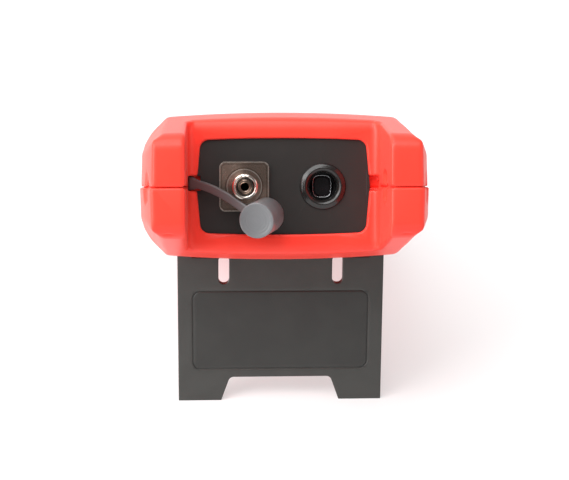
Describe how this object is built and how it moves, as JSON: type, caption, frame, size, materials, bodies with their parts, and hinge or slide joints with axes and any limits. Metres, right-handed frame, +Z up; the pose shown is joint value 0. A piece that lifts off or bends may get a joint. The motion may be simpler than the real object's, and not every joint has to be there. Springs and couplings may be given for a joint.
{
  "type": "optical multimeter",
  "caption": "Handheld fibre-optic tester in a two-shell housing, with a threaded fibre connector, a detector port, a tethered dust cap, keypad and fold-out stand.",
  "frame": {"origin": "middle of the bounding box on the floor, with the instrument leaning back on its open stand", "axes": "+Z up, +X across the instrument to the right as its ports are looked into, -Y towards the viewer of the ports, +Y towards the bottom end"},
  "size_m": [0.0916, 0.1861, 0.1107],
  "materials": {
    "shell": "satin, finely textured",
    "panel": "satin, finely textured",
    "window": "clear, polished",
    "display": "satin",
    "mat": "matte",
    "board": "solder resist",
    "switch": "satin",
    "keys": "matte",
    "nickel": "fine turned",
    "sleeve": "polished",
    "can": "satin",
    "detector": "satin",
    "bush": "matte",
    "lens": "polished",
    "cap": "satin",
    "strap": "satin",
    "stand": "moulded texture",
    "steel": "satin",
    "cells": "wrapped",
    "contacts": "nickel plated"
  },
  "bodies": {
    "case": {"front_shell": "shell", "rear_shell": "shell", "end_panel": "panel", "front_plate": "panel", "lcd_window": "window", "lcd_module": "display", "keypad_mat": "mat", "main_board": "board", "key_switches": "switch", "connector_flange": "nickel", "connector_barrel": "nickel", "ferrule_sleeve": "sleeve", "laser_diode": "can", "port_bush": "bush", "port_lens": "lens", "photo_detector": "detector", "hinge_rod": "steel", "battery_cover": "shell", "cover_screw": "steel", "battery_cells": "cells", "battery_contacts": "contacts", "shell_screws": "steel", "board_screws": "steel"},
    "stand": {"stand_plate": "stand"},
    "tether": {"dust_cap": "cap", "cap_tether": "strap"},
    "key_power_cap": {"key_power": "keys"},
    "key_light_cap": {"key_light": "keys"},
    "key_store_cap": {"key_store": "keys"},
    "key_wave_cap": {"key_wave": "keys"},
    "key_unit_cap": {"key_unit": "keys"},
    "key_reference_cap": {"key_reference": "keys"},
    "key_laser_cap": {"key_laser": "keys"},
    "key_zero_cap": {"key_zero": "keys"},
    "key_mode_cap": {"key_mode": "keys"}
  },
  "joints": [
    {"name": "stand_fold", "type": "hinge", "parent": "case", "child": "stand", "pos_m": [0.0012, -0.04185, 0.05255], "axis": [1, 0, 0], "range_deg": [0, 80]},
    {"name": "tether_swing", "type": "hinge", "parent": "case", "child": "tether", "pos_m": [-0.0292, -0.06134, 0.08531], "axis": [0, -0.4096, -0.9123], "range_deg": [0, 45]},
    {"name": "key_power_press", "type": "slide", "parent": "case", "child": "key_power_cap", "axis": [0, -0.4096, -0.9123], "range_m": [0, 0.0008], "stiffness_N_per_m": 400, "springref_m": -0.0005},
    {"name": "key_light_press", "type": "slide", "parent": "case", "child": "key_light_cap", "axis": [0, -0.4096, -0.9123], "range_m": [0, 0.0008], "stiffness_N_per_m": 400, "springref_m": -0.0005},
    {"name": "key_store_press", "type": "slide", "parent": "case", "child": "key_store_cap", "axis": [0, -0.4096, -0.9123], "range_m": [0, 0.0008], "stiffness_N_per_m": 400, "springref_m": -0.0005},
    {"name": "key_wave_press", "type": "slide", "parent": "case", "child": "key_wave_cap", "axis": [0, -0.4096, -0.9123], "range_m": [0, 0.0008], "stiffness_N_per_m": 400, "springref_m": -0.0005},
    {"name": "key_unit_press", "type": "slide", "parent": "case", "child": "key_unit_cap", "axis": [0, -0.4096, -0.9123], "range_m": [0, 0.0008], "stiffness_N_per_m": 400, "springref_m": -0.0005},
    {"name": "key_reference_press", "type": "slide", "parent": "case", "child": "key_reference_cap", "axis": [0, -0.4096, -0.9123], "range_m": [0, 0.0008], "stiffness_N_per_m": 400, "springref_m": -0.0005},
    {"name": "key_laser_press", "type": "slide", "parent": "case", "child": "key_laser_cap", "axis": [0, -0.4096, -0.9123], "range_m": [0, 0.0008], "stiffness_N_per_m": 400, "springref_m": -0.0005},
    {"name": "key_zero_press", "type": "slide", "parent": "case", "child": "key_zero_cap", "axis": [0, -0.4096, -0.9123], "range_m": [0, 0.0008], "stiffness_N_per_m": 400, "springref_m": -0.0005},
    {"name": "key_mode_press", "type": "slide", "parent": "case", "child": "key_mode_cap", "axis": [0, -0.4096, -0.9123], "range_m": [0, 0.0008], "stiffness_N_per_m": 400, "springref_m": -0.0005}
  ]
}
